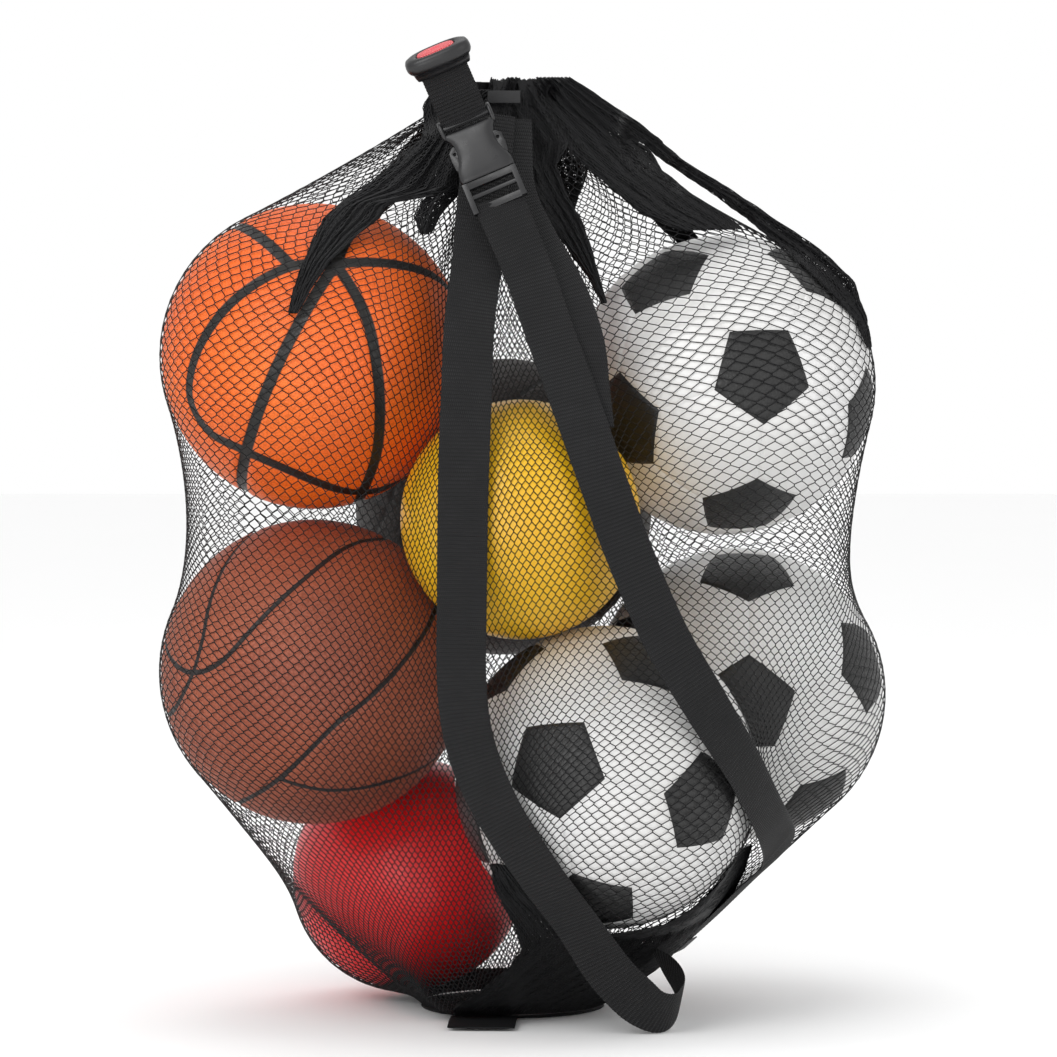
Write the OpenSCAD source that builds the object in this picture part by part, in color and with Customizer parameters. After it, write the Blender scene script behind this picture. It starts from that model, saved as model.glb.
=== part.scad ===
// Mesh ball bag: a knotless net tube on a round fabric base, gathered at the
// neck, with two webbing carry straps, a side release buckle and eight balls.
// Units are millimetres. X is right, Y is back, Z is up; the bag stands on z = 0.

/* [Part] */
// Which part to show

/* [Net] */
// Thickness of the net as a plain skin
net_t = 1.5; // [1.2:0.1:2]
// Room between the net and the balls
net_gap = 2.2; // [2:0.1:3]
// Radius of the gathered neck
neck_r = 42; // [38:1:48]
// Radius of the hole left in the cinched mouth
mouth_r = 11; // [8:0.5:14]
// Width of the seam tapes at the sides
seam_w = 10; // [8:1:14]

/* [Base] */
// Radius of the round base patch
base_r = 70; // [66:1:74]
// Thickness of the base patch
base_t = 2; // [1.6:0.1:2]

/* [Balls] */
// Radius of the two large balls and the hidden one
big_r = 113.5; // [112:0.5:113.5]
// Radius of the panelled kick balls
kick_r = 112; // [110:0.5:112]
// Radius of the two playground balls
play_r = 88.5; // [87:0.5:88.5]
// Wall thickness of the balls
wall = 3.2; // [2.5:0.1:4]

/* [Webbing and buckle] */
// Width of the strap webbing
web_w = 37; // [34:1:38]
// Thickness of the strap webbing
web_t = 1.6; // [1.4:0.1:1.6]
// Width of the buckle
buckle_w = 42; // [41:0.5:43]
// Lean of the buckle to the left
buckle_lean = 23; // [20:1:26]
// Lean of the buckle towards the back
buckle_back = 15; // [12:1:16]
// How far the webbing tail is tipped forward
tail_tip = 38; // [30:1:44]

/* [Hidden] */
$fn = 96;
black = [0.07, 0.07, 0.08];
web_black = [0.13, 0.13, 0.14];

// ball centres
orange_c = [-159, -39, 493];
brown_c = [-160, -42, 258];
red_c = [-91, 57, 94.5];
yellow_c = [-6, -106, 376];
upper_c = [146, -7, 470];
right_c = [160, 100, 228];
front_c = [57, -98, 185];
hidden_c = [-19, 112, 371];
balls = [[orange_c, big_r], [brown_c, big_r], [red_c, play_r], [yellow_c, play_r],
  [upper_c, kick_r], [right_c, kick_r], [front_c, kick_r], [hidden_c, big_r]];

neck_c = [-18, -10];
neck_z = 680;
base_c = [-12, 12];
hem_h = 15;
seam_y = 8; // plane in which the two net halves meet
buckle_o = [-20, -115, 607];

// ---------- the net ----------
module net_solid(grow, top_r, top_z, foot_r, foot_z) {
  hull() {
    for (b = balls) translate(b[0]) sphere(r = b[1] + grow, $fn = 30);
    translate([neck_c[0], neck_c[1], neck_z - 8]) cylinder(r = top_r, h = top_z, $fn = 40);
    translate([base_c[0], base_c[1], foot_z]) cylinder(r = foot_r, h = 1, $fn = 48);
  }
}
module net_skin(extra = 0) {
  difference() {
    net_solid(net_gap + net_t + extra, neck_r + extra, 8, base_r - 1, base_t);
    union() {
      net_solid(net_gap, neck_r - net_t, 8, base_r - 3, base_t + net_t);
      translate([neck_c[0], neck_c[1], neck_z - 9]) cylinder(r = neck_r - net_t - 0.1, h = 12, $fn = 40);
    }
  }
}
// heights at which the net is divided into bands
net_cuts = [-10, 215, 450, 900];
module mesh_band(s, k) {
  color(black) intersection() {
    net_skin();
    translate([-400, s > 0 ? seam_y + seam_w / 2 : seam_y - seam_w / 2 - 500, net_cuts[k]])
      cube([800, 500, net_cuts[k + 1] - net_cuts[k]]);
  }
}
module mesh_front_top() { mesh_band(-1, 2); }
module mesh_front_mid() { mesh_band(-1, 1); }
module mesh_front_low() { mesh_band(-1, 0); }
module mesh_back_top() { mesh_band(1, 2); }
module mesh_back_mid() { mesh_band(1, 1); }
module mesh_back_low() { mesh_band(1, 0); }
module seam(s) {
  color(web_black) intersection() {
    net_skin();
    translate([s > 0 ? neck_c[0] : -400 + neck_c[0], seam_y - seam_w / 2, -10]) cube([400, seam_w, 900]);
  }
}
module side_seam_left() { seam(-1); }
module side_seam_right() { seam(1); }

// ---------- base ----------
module base_patch() {
  color(black) translate([base_c[0], base_c[1], 0]) cylinder(r = base_r - 4, h = base_t);
}
module base_binding() {
  color(web_black) translate([base_c[0], base_c[1], 0]) difference() {
    cylinder(r = base_r + 2, h = base_t);
    translate([0, 0, -1]) cylinder(r = base_r - 4, h = base_t + 2);
  }
}

// ---------- gathered hem ----------
pleats = 17;
hem_pts = [for (i = [0 : 4 : 359]) let (r = neck_r - 3 + 2.6 * sin(i * pleats)) [r * cos(i), r * sin(i)]];
module hem_casing() {
  color(black) translate([neck_c[0], neck_c[1], neck_z]) difference() {
    union() {
      linear_extrude(height = hem_h) polygon(hem_pts);
      cylinder(r = neck_r, h = 3);
    }
    translate([0, 0, -1]) cylinder(r = mouth_r, h = hem_h + 2);
    translate([0, 0, hem_h - 5]) cylinder(r1 = mouth_r, r2 = mouth_r + 14, h = 6);
  }
}

// ---------- webbing ----------
function unit(v) = v / norm(v);
// a smooth curve through the points
function cat(a, b, c, d, t) = 0.5 * (2 * b + (c - a) * t + (2 * a - 5 * b + 4 * c - d) * t * t
  + (3 * b - a - 3 * c + d) * t * t * t);
function at(p, i) = i < 0 ? 2 * p[0] - p[1] : i >= len(p) ? 2 * p[len(p) - 1] - p[len(p) - 2] : p[i];
function curve(p, n) = concat(
  [for (i = [0 : len(p) - 2]) for (k = [0 : n - 1]) cat(at(p, i - 1), p[i], p[i + 1], at(p, i + 2), k / n)],
  [p[len(p) - 1]]);
// each point is x, y, z and the way that the face looks: azimuth and elevation
function facing(q) = [sin(q[3]) * cos(q[4]), -cos(q[3]) * cos(q[4]), sin(q[4])];
function spot(q) = [q[0], q[1], q[2]];
module ribbon(route, n = 3, w = web_w, t = web_t) {
  p = curve(route, n);
  m = len(p);
  rings = [for (i = [0 : m - 1]) let (
      a = spot(p[max(i - 1, 0)]), b = spot(p[min(i + 1, m - 1)]), d = unit(b - a),
      s = unit(cross(d, facing(p[i]))), f = unit(cross(s, d)), c = spot(p[i]))
    [c - s * w / 2 - f * t / 2, c + s * w / 2 - f * t / 2, c + s * w / 2 + f * t / 2, c - s * w / 2 + f * t / 2]];
  pts = [for (r = rings) for (v = r) v];
  sides = [for (i = [0 : m - 2]) for (k = [0 : 3]) let (a = 4 * i + k, b = 4 * i + (k + 1) % 4) [a, b, b + 4, a + 4]];
  tri = [for (f = sides) for (h = [0, 1]) h == 0 ? [f[0], f[2], f[1]] : [f[0], f[3], f[2]]];
  e = 4 * (m - 1);
  polyhedron(points = pts, faces = concat(tri, [[0, 1, 2], [0, 2, 3], [e, e + 2, e + 1], [e, e + 3, e + 2]]));
}

left_route = [[-28, -64, 673, 9, 28], [-31, -83.5, 637, 9, 28], [-35, -106, 596, 9, 28], [-38, -124, 562, 9, 28],
  [-43, -147, 521, 9, 28], [-45, -173, 470, 6, 26], [-47, -194, 406, -8, 8], [-48, -196, 329, -12, 0],
  [-48, -197, 261, -14, 0], [-41, -199, 216, -14, 0], [-22, -199, 171, -16, -14], [8, -191, 124, -14, -28],
  [36, -170, 84, -8, -40], [58, -155, 50, 0, -30], [76, -150, 30, 0, -20]];
right_route = [[-20, -115.5, 605.8, -2, 16], [-12, -121, 587, 6, 22], [2, -128, 553, 9, 28], [16, -144, 513, 9, 28], [32, -162, 470, 10, 27],
  [53, -183, 411, 18, 14], [72, -189, 359, 20, 10], [98, -191, 299, 21, 10], [129, -189, 246, 28, 6],
  [157, -167, 199, 46, -2], [178, -116, 154, 64, -18], [186, -52, 128, 71, -37],
  [182, -22, 114, 74, -47], [164, -2, 94, 74, -47], [139, 8, 68, 74, -47], [110, 13, 41, 74, -47]];
function part_of(r, a, b) = [for (i = [a : b]) r[i]];
module slab(z0, z1) { translate([-400, -400, z0]) cube([800, 600, z1 - z0]); }
cut_top = 500;
cut_low = 238;
cut_gap = 0.5;

module strap_left_upper() { color(web_black) intersection() { ribbon(left_route); slab(cut_top + cut_gap, 700); } }
module strap_left_mid() { color(web_black) intersection() { ribbon(left_route); slab(cut_low, cut_top); } }
module strap_left_lower() { color(web_black) intersection() { ribbon(left_route); slab(-10, cut_low - cut_gap); } }
module strap_right_upper() { color(web_black) intersection() { ribbon(right_route); slab(cut_top + cut_gap, 700); } }
module strap_right_mid() { color(web_black) intersection() { ribbon(right_route); slab(cut_low, cut_top); } }
module strap_right_lower() { color(web_black) intersection() { ribbon(right_route); slab(-10, cut_low - cut_gap); } }
module strap_behind() {
  color(web_black) ribbon([[-16, -59.3, 669, 9, 28], [-13, -86, 618, 9, 28], [4, -103.5, 580, 9, 28], [25, -120, 543, 9, 28],
    [40, -136.2, 508, 9, 28]]);
}
// the strap's low end, turned back up into a loop
turn_route = [[77.6, -149.7, 28.6, 0, -20], [90, -147, 19, 6, -30], [104, -136, 16, 45, -30], [112, -118, 24, 90, -10],
  [108, -98, 36, 120, 20], [96, -80, 46, 120, 40]];
module strap_turn_loop() { color(web_black) ribbon(turn_route, 4, 30); }
module base_tab() {
  color(web_black) ribbon([[-33, -60, 1.8, 0, 88], [-33, -80, 3, 0, 86], [-34, -100, 3.6, 0, 90], [-35, -125, 2, 0, 90]], 3, 52);
}
module bartack_left() { color(black) translate([neck_c[0] - 12, neck_c[1] - neck_r - 4, neck_z + 1]) cube([24, 3.6, 9]); }
module bartack_right() { color(black) translate([118.4, 11.6, 45.9]) rotate([0, 138, -16]) cube([14, 30, 1], center = true); }

// ---------- buckle, in its own frame: z along it, -y to the front ----------
module on_buckle() { translate(buckle_o) rotate([-buckle_back, -buckle_lean, 0]) children(); }
hw = buckle_w / 2;
bar_z = 69;
bar_r = 2;
fit = 0.05;
module rounded_slab(w, d, h, r) {
  // a plate with round long edges
  hull() for (x = [-1, 1]) for (y = [-1, 1]) translate([x * (w / 2 - r), y * (d / 2 - r), 0]) cylinder(r = r, h = h, $fn = 32);
}
module prism(pts, d) { rotate([90, 0, 0]) translate([0, 0, -d / 2]) linear_extrude(height = d) polygon(pts); }
module buckle_male() {
  color(black) on_buckle() {
    // side rails and ladder bars
    for (s = [-1, 1]) translate([s * (hw - 2), 0, 12]) cube([4, 8, 24], center = true);
    translate([0, 1.2, 2.5]) cube([buckle_w - 6, 5, 5], center = true);
    translate([0, 0, 13]) rotate([0, 90, 0]) cylinder(r = 2.2, h = buckle_w - 6, center = true);
    translate([0, 0.4, 21.5]) cube([buckle_w - 6, 7, 5], center = true);
    // centre tongue
    translate([0, 0, 40]) cube([6, 3.4, 34], center = true);
    translate([0, 0, 55]) cube([3, 3.4, 4], center = true);
  }
}
// each prong springs from the male's shoulder and snaps out of the side window
module prong(s) {
  color(black) on_buckle() difference() {
    prism([[s * 13, 24.5], [s * 17.2, 24.5], [s * 18, 33.6], [s * 20.4, 36], [s * 20.9, 43], [s * 20.6, 50], [s * 17, 53.5],
      [s * 13.8, 53.5], [s * 12.8, 48], [s * 14.6, 42], [s * 14, 34]], 4.4);
    translate([s * 17, 0, 48]) rotate([90, 0, 0]) cylinder(r = 1.2, h = 8, center = true);
  }
}
module buckle_prong_left() { prong(-1); }
module buckle_prong_right() { prong(1); }
module buckle_female() {
  color(black) on_buckle() difference() {
    union() {
      // shell, wide at the mouth and waisted where the prongs show
      prism([[-hw + 0.5, 24.4], [hw - 0.5, 24.4], [hw - 1, 33], [hw - 5.5, 36], [hw - 7, 44], [hw - 6, 55], [hw - 4, 60],
        [-hw + 4, 60], [-hw + 6, 55], [-hw + 7, 44], [-hw + 5.5, 36], [-hw + 1, 33]], 9.6);
      // flared ears that hold the bar
      for (s = [-1, 1]) translate([s * (hw - 1.7), 0, 65]) {
        cube([3.4, 8.6, 12], center = true);
        translate([0, 0, 6]) rotate([0, 90, 0]) cylinder(r = 4.3, h = 3.4, center = true);
      }
      translate([0, 0, 59]) cube([buckle_w - 2, 8.6, 4], center = true);
    }
    // hollow for the prongs and the tongue, and the side windows
    translate([0, 0, 39.5]) cube([buckle_w + 4, 5.4, 32], center = true);
    translate([0, 0, 57]) cube([8, 5.4, 5], center = true);
    // the bar's holes
    translate([0, 0, bar_z]) rotate([0, 90, 0]) cylinder(r = bar_r, h = buckle_w + 2, center = true);
  }
  // guide ribs, and the walls at the mouth that the prongs catch on
  color(black) on_buckle() for (s = [-1, 1]) {
    translate([s * 8.4, 0, 42.5]) cube([2, 5.6, 32], center = true);
    translate([s * 19.5, 0, 29]) cube([1.8, 5.6, 8], center = true);
  }
}
module buckle_bar() {
  color(black) on_buckle() translate([0, 0, bar_z]) rotate([0, 90, 0]) cylinder(r = bar_r, h = buckle_w, center = true);
}
// the tail and its cap lean forward about the bar
module on_tail() { on_buckle() translate([0, 0, bar_z]) rotate([tail_tip, 0, 0]) translate([0, 0, -bar_z]) children(); }
tail_w = buckle_w - 8;
tail_top = 119;
module webbing_tail() {
  color(web_black) on_tail() difference() {
    union() {
      translate([0, 0, bar_z]) rotate([0, 90, 0]) cylinder(r = bar_r + 1.8, h = tail_w - 0.4, center = true);
      translate([0, 0, (bar_z + tail_top) / 2 + 1]) cube([tail_w - 0.4, 3.4, tail_top - bar_z - 2], center = true);
      translate([0, 0, (bar_z + 8 + tail_top) / 2]) cube([web_w, 3.4, tail_top - bar_z - 14], center = true);
    }
    translate([0, 0, bar_z]) rotate([0, 90, 0]) cylinder(r = bar_r + fit, h = buckle_w + 2, center = true);
  }
}
// oval moulded cap, round at the rim, with a ribbed insert on its top
module cap_oval(a, b, h) { linear_extrude(height = h) hull() for (s = [-1, 1]) translate([s * (a - b), 0]) circle(r = b, $fn = 64); }
cap_h = 12;
module end_cap() {
  color(black) on_tail() translate([0, 0, tail_top]) difference() {
    union() {
      translate([0, 0, 2]) cap_oval(25, 11, cap_h - 4);
      cap_oval(23, 9, cap_h);
      translate([0, 0, -7]) cap_oval(20.5, 5, 7.5);
    }
    translate([0, 0, cap_h - 2]) cap_oval(14, 5.5, 3);
    translate([0, 0, -4.5]) cube([web_w, 3.4, 9], center = true);
  }
}
module cap_insert() {
  color([0.85, 0.2, 0.24]) on_tail() translate([0, 0, tail_top + cap_h - 2]) cap_oval(14, 5.5, 2.6);
}

// ---------- balls: hollow, each with its valve's hole ----------
module ball(c, r, tint, va, ve) {
  color(tint) translate(c) difference() {
    sphere(r = r);
    sphere(r = r - wall);
    rotate([0, 90 - ve, va]) translate([0, 0, r - wall - 2]) cylinder(r = 2, h = wall + 6, $fn = 32);
  }
}
module ball_orange() { ball(orange_c, big_r, [0.95, 0.35, 0.05], 60, 20); }
module ball_brown() { ball(brown_c, big_r, [0.55, 0.22, 0.1], 245, -32); }
module ball_red() { ball(red_c, play_r, [0.85, 0.03, 0.03], 80, 10); }
module ball_yellow() { ball(yellow_c, play_r, [0.95, 0.75, 0.05], 90, 0); }
module soccer_upper() { ball(upper_c, kick_r, [0.95, 0.95, 0.95], 90, 20); }
module soccer_right() { ball(right_c, kick_r, [0.93, 0.93, 0.93], 60, 0); }
module soccer_front() { ball(front_c, kick_r, [0.97, 0.97, 0.97], 90, -20); }
module ball_hidden() { ball(hidden_c, big_r, [0.2, 0.1, 0.06], 90, 0); }

mesh_front_top();
mesh_front_mid();
mesh_front_low();
mesh_back_top();
mesh_back_mid();
mesh_back_low();
side_seam_left();
side_seam_right();
base_patch();
base_binding();
hem_casing();
strap_left_upper();
strap_left_mid();
strap_left_lower();
strap_right_upper();
strap_right_mid();
strap_right_lower();
strap_behind();
strap_turn_loop();
base_tab();
bartack_left();
bartack_right();
buckle_male();
buckle_prong_left();
buckle_prong_right();
buckle_female();
buckle_bar();
webbing_tail();
end_cap();
cap_insert();
ball_orange();
ball_brown();
ball_red();
ball_yellow();
soccer_upper();
soccer_right();
soccer_front();
ball_hidden();
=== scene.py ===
"""A mesh ball bag full of sport balls: net, straps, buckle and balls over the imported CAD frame."""
import bpy
import bmesh
import math
import numpy as np
from mathutils import Matrix, Vector


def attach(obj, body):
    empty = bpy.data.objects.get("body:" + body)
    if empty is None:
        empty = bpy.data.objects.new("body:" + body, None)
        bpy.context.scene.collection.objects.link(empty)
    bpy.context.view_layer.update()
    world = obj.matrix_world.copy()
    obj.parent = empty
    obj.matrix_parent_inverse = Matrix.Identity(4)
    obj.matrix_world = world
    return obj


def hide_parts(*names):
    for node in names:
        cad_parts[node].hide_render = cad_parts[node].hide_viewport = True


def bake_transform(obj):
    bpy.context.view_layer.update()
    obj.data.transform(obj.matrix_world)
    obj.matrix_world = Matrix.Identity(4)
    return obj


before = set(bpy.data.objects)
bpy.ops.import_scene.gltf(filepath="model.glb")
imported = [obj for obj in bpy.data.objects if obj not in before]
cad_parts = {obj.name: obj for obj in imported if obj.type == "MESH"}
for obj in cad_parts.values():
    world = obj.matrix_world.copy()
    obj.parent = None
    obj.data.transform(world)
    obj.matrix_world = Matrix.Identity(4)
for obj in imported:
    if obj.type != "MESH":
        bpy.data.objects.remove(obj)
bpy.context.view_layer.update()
MM = 0.001
SCENE = bpy.context.scene
COLLECTION = SCENE.collection
RNG = np.random.default_rng(7)


def unit(v):
    v = np.asarray(v, float)
    return v / np.maximum(np.linalg.norm(v, axis=-1, keepdims=True), 1e-12)


# ---------------------------------------------------------------- camera, light, floor
def aim(obj, target):
    obj.rotation_euler = (Vector(target) - obj.location).to_track_quat("-Z", "Y").to_euler()


SENSOR = 36.0  # mm
CAMERA_EL, CAMERA_DIST, CAMERA_TARGET = math.radians(4), 5.0, (0.0, 0.0, 0.362)
VIEW_WIDTH = 0.793  # metres seen across the picture at the target


def make_camera():
    data = bpy.data.cameras.new("camera")
    cam = bpy.data.objects.new("camera", data)
    COLLECTION.objects.link(cam)
    x, y, z = CAMERA_TARGET
    cam.location = (x, y - CAMERA_DIST * math.cos(CAMERA_EL), z + CAMERA_DIST * math.sin(CAMERA_EL))
    aim(cam, CAMERA_TARGET)
    data.sensor_width = SENSOR
    data.lens = SENSOR * CAMERA_DIST / VIEW_WIDTH
    SCENE.camera = cam


def area_light(name, where, target, size, power):
    data = bpy.data.lights.new(name, "AREA")
    data.shape, data.size, data.energy = "SQUARE", size, power
    obj = bpy.data.objects.new(name, data)
    COLLECTION.objects.link(obj)
    obj.location = where
    aim(obj, target)


FLOOR_HALF, FLOOR_Z = 6.0, -0.0005
MID_BAG, LOW_BAG = (0, 0, 0.38), (0, 0, 0.25)


def make_studio():
    world = SCENE.world or bpy.data.worlds.new("world")
    SCENE.world = world
    world.use_nodes = True
    back = world.node_tree.nodes["Background"]
    back.inputs["Color"].default_value = (1, 1, 1, 1)
    back.inputs["Strength"].default_value = 1.0
    SCENE.view_settings.view_transform = "Standard"
    area_light("key", (-1.5, -2.4, 2.3), MID_BAG, 1.6, 30)
    area_light("fill", (2.2, -2.6, 1.2), MID_BAG, 2.2, 8)
    area_light("low", (-0.7, -2.6, 0.25), LOW_BAG, 1.2, 10)
    area_light("top", (0, 0.4, 2.6), MID_BAG, 1.6, 12)
    signs = ((-1, -1), (1, -1), (1, 1), (-1, 1))
    mesh = bpy.data.meshes.new("floor")
    mesh.from_pydata([(x * FLOOR_HALF, y * FLOOR_HALF, FLOOR_Z) for x, y in signs], [], [(0, 1, 2, 3)])
    floor = bpy.data.objects.new("floor", mesh)
    COLLECTION.objects.link(floor)
    floor.data.materials.append(plain_floor())


# ---------------------------------------------------------------- materials
RIB, YARN, WEAVE, HATCH = 2.9, 1.5, 1.1, 1.7  # mm: webbing's ribs and yarns, cloth, the red pad's lines
CLOUDS = 8.0  # scale of the cloudy tone of a basketball's cover
BLACK_EDGE = 0.42  # share of a channel's width painted black on each side of its middle


class Shader:
    """A principled material with short calls for adding and joining nodes."""

    def __init__(self, name, color, rough, **extra):
        self.mat = bpy.data.materials.new(name)
        self.mat.use_nodes = True
        self.tree = self.mat.node_tree
        self.bsdf = self.tree.nodes["Principled BSDF"]
        self.set(self.bsdf, {"Base Color": (*color, 1), "Roughness": rough, **extra})

    def set(self, node, inputs):
        for key, value in inputs.items():
            if isinstance(value, bpy.types.NodeSocket):
                self.tree.links.new(value, node.inputs[key])
            else:
                node.inputs[key].default_value = value

    def add(self, kind, inputs=None, **fields):
        node = self.tree.nodes.new(kind)
        for key, value in fields.items():
            setattr(node, key, value)
        self.set(node, inputs or {})
        return node

    def math(self, op, a, b=0.0):
        return self.add("ShaderNodeMath", {0: a, 1: b}, operation=op).outputs[0]

    def mix(self, fac, a, b):
        node = self.add("ShaderNodeMix", data_type="RGBA")
        for i, value in ((0, fac), (6, a), (7, b)):
            self.set(node, {i: value if isinstance(value, (bpy.types.NodeSocket, float)) else (*value, 1)})
        return node.outputs[2]

    def ramp(self, value, stops):
        node = self.add("ShaderNodeValToRGB", {"Fac": value})
        while len(node.color_ramp.elements) < len(stops):
            node.color_ramp.elements.new(0.5)
        for el, (at, grey) in zip(node.color_ramp.elements, stops):
            el.position, el.color = at, (grey, grey, grey, 1)
        return node.outputs["Color"]

    def coords(self, kind="Object"):
        return self.add("ShaderNodeTexCoord").outputs[kind]

    def noise(self, scale, detail=3.0):
        inputs = {"Vector": self.coords(), "Scale": scale, "Detail": detail}
        return self.add("ShaderNodeTexNoise", inputs).outputs[0]

    def cells(self, scale):
        inputs = {"Vector": self.coords(), "Scale": scale}
        return self.add("ShaderNodeTexVoronoi", inputs, feature="F1").outputs["Distance"]

    def waves(self, value, pitch):
        """A sine that repeats every pitch mm of a value in metres."""
        return self.math("SINE", self.math("MULTIPLY", value, 2 * math.pi / (pitch * MM)))

    def attribute(self, name):
        return self.add("ShaderNodeAttribute", attribute_name=name).outputs["Fac"]

    def bump(self, height, distance, strength=1.0):
        """One more layer of relief over the ones already there."""
        node = self.add("ShaderNodeBump", {"Height": height, "Distance": distance, "Strength": strength})
        below = self.bsdf.inputs["Normal"].links
        if below:
            self.tree.links.new(below[0].from_socket, node.inputs["Normal"])
        self.tree.links.new(node.outputs[0], self.bsdf.inputs["Normal"])

    def color(self, socket):
        self.tree.links.new(socket, self.bsdf.inputs["Base Color"])

    def rough(self, socket):
        self.tree.links.new(socket, self.bsdf.inputs["Roughness"])


def plain_floor():
    s = Shader("floor_paint", (0.95, 0.95, 0.95), 0.8, **{"Specular IOR Level": 0.1})
    s.color(s.mix(s.noise(3.0), (0.945, 0.945, 0.945), (0.955, 0.955, 0.955)))
    return s.mat


def net_material():
    s = Shader("net_thread", (0.006, 0.006, 0.007), 0.5, **{"Specular IOR Level": 0.25})
    s.color(s.mix(s.noise(260.0), (0.003, 0.003, 0.0035), (0.008, 0.008, 0.009)))
    s.bump(s.noise(2600.0, 1.0), 0.0002, 0.6)
    return s.mat


def webbing_material():
    """Ribs cross the band, and the yarns of each rib show as short slanting floats. Their tops are coloured
    lighter grey as a painted highlight.
    """
    s = Shader("webbing", (0.012, 0.012, 0.013), 0.55, **{"Specular IOR Level": 0.3})
    uv = s.add("ShaderNodeSeparateXYZ", {0: s.coords("UV")})
    u, v = uv.outputs[0], uv.outputs[1]
    rib = s.waves(v, RIB)
    slant = s.math("MULTIPLY", v, math.pi / (RIB * MM))
    yarn = s.math("SINE", s.math("ADD", s.math("MULTIPLY", u, 2 * math.pi / (YARN * MM)), slant))
    both = s.math("MULTIPLY", s.math("ADD", rib, 1.0), s.math("ADD", yarn, 1.0))
    # painted highlight: the tops of the ribs and yarn floats are coloured lighter grey, as if light caught
    # them; the same mask lowers the roughness there
    rib_top_highlight = s.ramp(s.math("MULTIPLY", both, 0.25), [(0.25, 0.0), (0.95, 1.0)])
    # worn is a noise that makes the painted rib highlight weaker in random patches
    worn = s.ramp(s.noise(60.0), [(0.35, 0.45), (0.7, 1.0)])
    s.color(s.mix(s.math("MULTIPLY", rib_top_highlight, worn), (0.004, 0.004, 0.0045), (0.032, 0.032, 0.034)))
    s.rough(s.ramp(rib_top_highlight, [(0.0, 0.7), (1.0, 0.42)]))
    s.bump(both, 0.00035, 0.8)
    s.bump(s.noise(1500.0, 2.0), 0.0001, 0.4)
    return s.mat


def cloth_material():
    s = Shader("woven_cloth", (0.005, 0.005, 0.005), 0.72, **{"Specular IOR Level": 0.2})
    xyz = s.add("ShaderNodeSeparateXYZ", {0: s.coords()})
    warp = s.waves(s.math("ADD", xyz.outputs[0], xyz.outputs[1]), WEAVE)
    weft = s.waves(s.math("SUBTRACT", xyz.outputs[2], xyz.outputs[0]), WEAVE)
    weave = s.math("MULTIPLY", warp, weft)
    s.color(s.mix(s.ramp(weave, [(0.0, 0.0), (1.0, 1.0)]), (0.003, 0.003, 0.0035), (0.011, 0.011, 0.012)))
    s.bump(weave, 0.0002, 0.6)
    s.bump(s.noise(35.0), 0.0015, 0.3)
    return s.mat


def plastic_material():
    s = Shader("buckle_plastic", (0.008, 0.008, 0.009), 0.3, **{"Specular IOR Level": 0.5})
    grain = s.noise(900.0, 2.0)
    s.color(s.mix(s.noise(40.0), (0.005, 0.005, 0.006), (0.010, 0.010, 0.011)))
    s.rough(s.ramp(s.noise(120.0), [(0.3, 0.26), (0.75, 0.4)]))
    s.bump(grain, 0.00012, 0.35)
    return s.mat


def insert_material():
    s = Shader("red_insert", (0.7, 0.05, 0.06), 0.45)
    uv = s.add("ShaderNodeSeparateXYZ", {0: s.coords("UV")})
    a = s.waves(s.math("ADD", uv.outputs[0], uv.outputs[1]), HATCH)
    b = s.waves(s.math("SUBTRACT", uv.outputs[0], uv.outputs[1]), HATCH)
    hatch = s.math("MAXIMUM", a, b)
    s.color(s.mix(s.ramp(hatch, [(0.5, 0.0), (0.95, 1.0)]), (0.62, 0.03, 0.05), (0.85, 0.22, 0.22)))
    s.bump(hatch, 0.0004, 0.8)
    return s.mat


def thread_material():
    s = Shader("sewing_thread", (0.008, 0.008, 0.009), 0.6)
    s.color(s.mix(s.noise(400.0), (0.006, 0.006, 0.007), (0.015, 0.015, 0.016)))
    s.bump(s.noise(3000.0, 1.0), 0.0001, 0.5)
    return s.mat


def pebbled(name, dark, light, black, pebble, depth, rough, width):
    """A basketball's cover: pebbles, painted shade in the gaps between them, cloudy colour, and black along
    the middle of each channel.

    The attribute channel is the distance in mm to the nearest channel's middle.
    """
    s = Shader(name, light, rough)
    bed = s.cells(1.0 / pebble)
    tone = s.mix(s.ramp(s.noise(CLOUDS, 4.0), [(0.3, 0.0), (0.72, 1.0)]), dark, light)
    # painted shade: the gaps between the pebbles are darkened towards 0.45 of the dark tone
    pebble_gap_shade = s.ramp(bed, [(0.35, 0.0), (0.75, 1.0)])
    tone = s.mix(s.math("MULTIPLY", pebble_gap_shade, 0.35), tone, tuple(c * 0.45 for c in dark))
    past_edge = s.math("SUBTRACT", s.math("DIVIDE", s.attribute("channel"), width), BLACK_EDGE)
    line = s.ramp(past_edge, [(0.0, 1.0), (0.1, 0.0)])
    s.color(s.mix(line, tone, black))
    s.rough(s.ramp(bed, [(0.2, rough - 0.06), (0.8, rough + 0.18)]))
    height = s.math("MULTIPLY", s.math("SUBTRACT", 1.0, bed), s.math("SUBTRACT", 1.0, line))
    s.bump(height, depth, 0.7)
    s.bump(s.noise(1400.0, 2.0), 0.0001, 0.25)
    return s.mat


def rubber_ball(name, dark, light, rough, pebble, depth, coat):
    s = Shader(name, light, rough, **{"Coat Weight": coat, "Coat Roughness": 0.12})
    bed = s.cells(1.0 / pebble)
    s.color(s.mix(s.ramp(s.noise(7.0, 3.0), [(0.3, 0.0), (0.75, 1.0)]), dark, light))
    s.rough(s.ramp(s.noise(40.0), [(0.3, rough - 0.05), (0.8, rough + 0.1)]))
    s.bump(bed, depth, 0.5)
    return s.mat


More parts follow.
